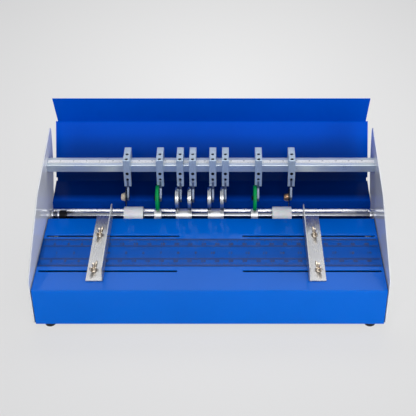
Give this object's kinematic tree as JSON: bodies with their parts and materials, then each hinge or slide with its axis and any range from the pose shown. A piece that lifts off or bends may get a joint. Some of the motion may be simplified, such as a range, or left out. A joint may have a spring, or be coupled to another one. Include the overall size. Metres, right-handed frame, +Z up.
{
  "type": "rotary perforator",
  "caption": "Desk-top rotary perforating and creasing machine: slotted feed table with side guides, driven anvil shaft, wheel tools on a cross beam, rear paper tray.",
  "frame": {"origin": "middle of the overall footprint at the undersides of the feet", "axes": "+X to the operator's right along the shaft, +Y from the operator to the paper tray, +Z up"},
  "size_m": [0.5214, 0.3142, 0.2149],
  "materials": {
    "blue_sheet": "glossy blue powder coat",
    "plated_sheet": "zinc-plated sheet",
    "grey_plate": "glossy light grey powder coat",
    "aluminium": "machined and clear anodised",
    "scale_tape": "printed tape",
    "scale_film": "clear printed film over blue",
    "chromed_bar": "ground and chromed",
    "black_steel": "blackened steel",
    "black_rubber": "matt moulded rubber",
    "white_nylon": "turned nylon",
    "green_polymer": "turned green polymer",
    "polished_steel": "polished hardened steel",
    "blade_steel": "dark hardened steel",
    "plated_fastener": "nickel plated",
    "bush_steel": "turned steel",
    "brushed_steel": "brushed steel"
  },
  "bodies": {
    "frame": {"base_cover": "blue_sheet", "bottom_pan": "plated_sheet", "left_side_plate": "grey_plate", "right_side_plate": "grey_plate", "paper_tray": "blue_sheet", "table_scale": "scale_film", "tool_beam": "aluminium", "beam_scale": "scale_tape", "tie_rod": "chromed_bar", "side_screws": "plated_fastener", "rubber_feet": "black_rubber", "shaft_bushes": "bush_steel"},
    "shaft": {"drive_shaft": "chromed_bar", "shaft_collar": "black_steel"},
    "holder_1": {"tool_holder_1": "aluminium", "holder_screws_1": "black_steel"},
    "arm_1": {"wheel_arm_1": "brushed_steel"},
    "wheel_1": {"perforating_wheel_1": "blade_steel"},
    "holder_2": {"tool_holder_2": "aluminium", "holder_screws_2": "black_steel"},
    "arm_2": {"wheel_arm_2": "brushed_steel"},
    "wheel_2": {"scoring_wheel_2": "green_polymer"},
    "holder_3": {"tool_holder_3": "aluminium", "holder_screws_3": "black_steel"},
    "arm_3": {"wheel_arm_3": "brushed_steel"},
    "wheel_3": {"creasing_wheel_3": "polished_steel"},
    "holder_4": {"tool_holder_4": "aluminium", "holder_screws_4": "black_steel"},
    "arm_4": {"wheel_arm_4": "brushed_steel"},
    "wheel_4": {"creasing_wheel_4": "polished_steel"},
    "holder_5": {"tool_holder_5": "aluminium", "holder_screws_5": "black_steel"},
    "arm_5": {"wheel_arm_5": "brushed_steel"},
    "wheel_5": {"creasing_wheel_5": "polished_steel"},
    "holder_6": {"tool_holder_6": "aluminium", "holder_screws_6": "black_steel"},
    "arm_6": {"wheel_arm_6": "brushed_steel"},
    "wheel_6": {"creasing_wheel_6": "polished_steel"},
    "holder_7": {"tool_holder_7": "aluminium", "holder_screws_7": "black_steel"},
    "arm_7": {"wheel_arm_7": "brushed_steel"},
    "wheel_7": {"scoring_wheel_7": "green_polymer"},
    "holder_8": {"tool_holder_8": "aluminium", "holder_screws_8": "black_steel"},
    "arm_8": {"wheel_arm_8": "brushed_steel"},
    "wheel_8": {"perforating_wheel_8": "blade_steel"},
    "soft_sleeve_left": {"soft_sleeve_left": "white_nylon"},
    "score_ring_left": {"score_ring_left": "brushed_steel"},
    "crease_sleeve_left": {"crease_sleeve_left": "brushed_steel"},
    "crease_sleeve_right": {"crease_sleeve_right": "brushed_steel"},
    "score_ring_right": {"score_ring_right": "brushed_steel"},
    "soft_sleeve_right": {"soft_sleeve_right": "white_nylon"},
    "left_guide": {"left_guide": "brushed_steel", "left_guide_studs": "plated_fastener"},
    "wing_nut_left_front": {"wing_nut_left_front": "plated_fastener"},
    "wing_nut_left_back": {"wing_nut_left_back": "plated_fastener"},
    "right_guide": {"right_guide": "brushed_steel", "right_guide_studs": "plated_fastener"},
    "wing_nut_right_front": {"wing_nut_right_front": "plated_fastener"},
    "wing_nut_right_back": {"wing_nut_right_back": "plated_fastener"}
  },
  "joints": [
    {"name": "shaft_spin", "type": "hinge", "parent": "frame", "child": "shaft", "pos_m": [-0.00629, 0.03488, 0.0622], "axis": [1, 0, 0], "continuous": true},
    {"name": "holder_1_slide", "type": "slide", "parent": "frame", "child": "holder_1", "axis": [1, 0, 0], "range_m": [-0.075, 0.008]},
    {"name": "arm_1_lift", "type": "slide", "parent": "holder_1", "child": "arm_1", "axis": [0, 0, 1], "range_m": [-0.0043, 0.001]},
    {"name": "wheel_1_spin", "type": "hinge", "parent": "arm_1", "child": "wheel_1", "pos_m": [-0.13689, 0.03748, 0.096], "axis": [1, 0, 0], "continuous": true},
    {"name": "holder_2_slide", "type": "slide", "parent": "frame", "child": "holder_2", "axis": [1, 0, 0], "range_m": [-0.008, 0.007]},
    {"name": "arm_2_lift", "type": "slide", "parent": "holder_2", "child": "arm_2", "axis": [0, 0, 1], "range_m": [0, 0.0012]},
    {"name": "wheel_2_spin", "type": "hinge", "parent": "arm_2", "child": "wheel_2", "pos_m": [-0.08924, 0.03748, 0.09379], "axis": [1, 0, 0], "continuous": true},
    {"name": "holder_3_slide", "type": "slide", "parent": "frame", "child": "holder_3", "axis": [1, 0, 0], "range_m": [-0.007, 0.007]},
    {"name": "arm_3_lift", "type": "slide", "parent": "holder_3", "child": "arm_3", "axis": [0, 0, 1], "range_m": [0, 0.0018]},
    {"name": "wheel_3_spin", "type": "hinge", "parent": "arm_3", "child": "wheel_3", "pos_m": [-0.05869, 0.03748, 0.09219], "axis": [1, 0, 0], "continuous": true},
    {"name": "holder_4_slide", "type": "slide", "parent": "frame", "child": "holder_4", "axis": [1, 0, 0], "range_m": [-0.007, 0.007]},
    {"name": "arm_4_lift", "type": "slide", "parent": "holder_4", "child": "arm_4", "axis": [0, 0, 1], "range_m": [0, 0.0018]},
    {"name": "wheel_4_spin", "type": "hinge", "parent": "arm_4", "child": "wheel_4", "pos_m": [-0.03949, 0.03748, 0.09219], "axis": [1, 0, 0], "continuous": true},
    {"name": "holder_5_slide", "type": "slide", "parent": "frame", "child": "holder_5", "axis": [1, 0, 0], "range_m": [-0.007, 0.017]},
    {"name": "arm_5_lift", "type": "slide", "parent": "holder_5", "child": "arm_5", "axis": [0, 0, 1], "range_m": [0, 0.0018]},
    {"name": "wheel_5_spin", "type": "hinge", "parent": "arm_5", "child": "wheel_5", "pos_m": [-0.00909, 0.03748, 0.09219], "axis": [1, 0, 0], "continuous": true},
    {"name": "holder_6_slide", "type": "slide", "parent": "frame", "child": "holder_6", "axis": [1, 0, 0], "range_m": [-0.007, 0.017]},
    {"name": "arm_6_lift", "type": "slide", "parent": "holder_6", "child": "arm_6", "axis": [0, 0, 1], "range_m": [0, 0.0018]},
    {"name": "wheel_6_spin", "type": "hinge", "parent": "arm_6", "child": "wheel_6", "pos_m": [0.01011, 0.03748, 0.09219], "axis": [1, 0, 0], "continuous": true},
    {"name": "holder_7_slide", "type": "slide", "parent": "frame", "child": "holder_7", "axis": [1, 0, 0], "range_m": [-0.017, 0.01]},
    {"name": "arm_7_lift", "type": "slide", "parent": "holder_7", "child": "arm_7", "axis": [0, 0, 1], "range_m": [0, 0.0012]},
    {"name": "wheel_7_spin", "type": "hinge", "parent": "arm_7", "child": "wheel_7", "pos_m": [0.06046, 0.03748, 0.09379], "axis": [1, 0, 0], "continuous": true},
    {"name": "holder_8_slide", "type": "slide", "parent": "frame", "child": "holder_8", "axis": [1, 0, 0], "range_m": [-0.01, 0.11]},
    {"name": "arm_8_lift", "type": "slide", "parent": "holder_8", "child": "arm_8", "axis": [0, 0, 1], "range_m": [-0.0043, 0.001]},
    {"name": "wheel_8_spin", "type": "hinge", "parent": "arm_8", "child": "wheel_8", "pos_m": [0.11291, 0.03748, 0.096], "axis": [1, 0, 0], "continuous": true},
    {"name": "soft_sleeve_left_slide", "type": "slide", "parent": "shaft", "child": "soft_sleeve_left", "axis": [1, 0, 0], "range_m": [-0.075, 0.008]},
    {"name": "score_ring_left_slide", "type": "slide", "parent": "shaft", "child": "score_ring_left", "axis": [1, 0, 0], "range_m": [-0.008, 0.007]},
    {"name": "crease_sleeve_left_slide", "type": "slide", "parent": "shaft", "child": "crease_sleeve_left", "axis": [1, 0, 0], "range_m": [-0.007, 0.007]},
    {"name": "crease_sleeve_right_slide", "type": "slide", "parent": "shaft", "child": "crease_sleeve_right", "axis": [1, 0, 0], "range_m": [-0.007, 0.017]},
    {"name": "score_ring_right_slide", "type": "slide", "parent": "shaft", "child": "score_ring_right", "axis": [1, 0, 0], "range_m": [-0.017, 0.01]},
    {"name": "soft_sleeve_right_slide", "type": "slide", "parent": "shaft", "child": "soft_sleeve_right", "axis": [1, 0, 0], "range_m": [-0.01, 0.11]},
    {"name": "left_guide_slide", "type": "slide", "parent": "frame", "child": "left_guide", "axis": [1, 0, 0], "range_m": [-0.074, 0.116]},
    {"name": "wing_nut_left_front_turn", "type": "hinge", "parent": "left_guide", "child": "wing_nut_left_front", "pos_m": [-0.17179, -0.11412, 0.07655], "axis": [0, 0, 1], "range_deg": [0, 360]},
    {"name": "wing_nut_left_back_turn", "type": "hinge", "parent": "left_guide", "child": "wing_nut_left_back", "pos_m": [-0.17179, -0.03312, 0.07655], "axis": [0, 0, 1], "range_deg": [0, 360]},
    {"name": "right_guide_slide", "type": "slide", "parent": "frame", "child": "right_guide", "axis": [1, 0, 0], "range_m": [-0.106, 0.084]},
    {"name": "wing_nut_right_front_turn", "type": "hinge", "parent": "right_guide", "child": "wing_nut_right_front", "pos_m": [0.14871, -0.11412, 0.07655], "axis": [0, 0, 1], "range_deg": [0, 360]},
    {"name": "wing_nut_right_back_turn", "type": "hinge", "parent": "right_guide", "child": "wing_nut_right_back", "pos_m": [0.14871, -0.03312, 0.07655], "axis": [0, 0, 1], "range_deg": [0, 360]}
  ],
  "couplings": [
    {"joint": "wheel_2_spin", "follows": "shaft_spin", "ratio": -0.55831},
    {"joint": "wheel_3_spin", "follows": "shaft_spin", "ratio": -0.60109},
    {"joint": "wheel_4_spin", "follows": "shaft_spin", "ratio": -0.60109},
    {"joint": "wheel_5_spin", "follows": "shaft_spin", "ratio": -0.60109},
    {"joint": "wheel_6_spin", "follows": "shaft_spin", "ratio": -0.60109},
    {"joint": "wheel_7_spin", "follows": "shaft_spin", "ratio": -0.55831},
    {"joint": "soft_sleeve_left_slide", "follows": "holder_1_slide", "ratio": 1},
    {"joint": "score_ring_left_slide", "follows": "holder_2_slide", "ratio": 1},
    {"joint": "crease_sleeve_left_slide", "follows": "holder_3_slide", "ratio": 1},
    {"joint": "crease_sleeve_right_slide", "follows": "holder_5_slide", "ratio": 1},
    {"joint": "score_ring_right_slide", "follows": "holder_7_slide", "ratio": 1},
    {"joint": "soft_sleeve_right_slide", "follows": "holder_8_slide", "ratio": 1},
    {"joint": "holder_4_slide", "follows": "holder_3_slide", "ratio": 1},
    {"joint": "holder_6_slide", "follows": "holder_5_slide", "ratio": 1}
  ]
}
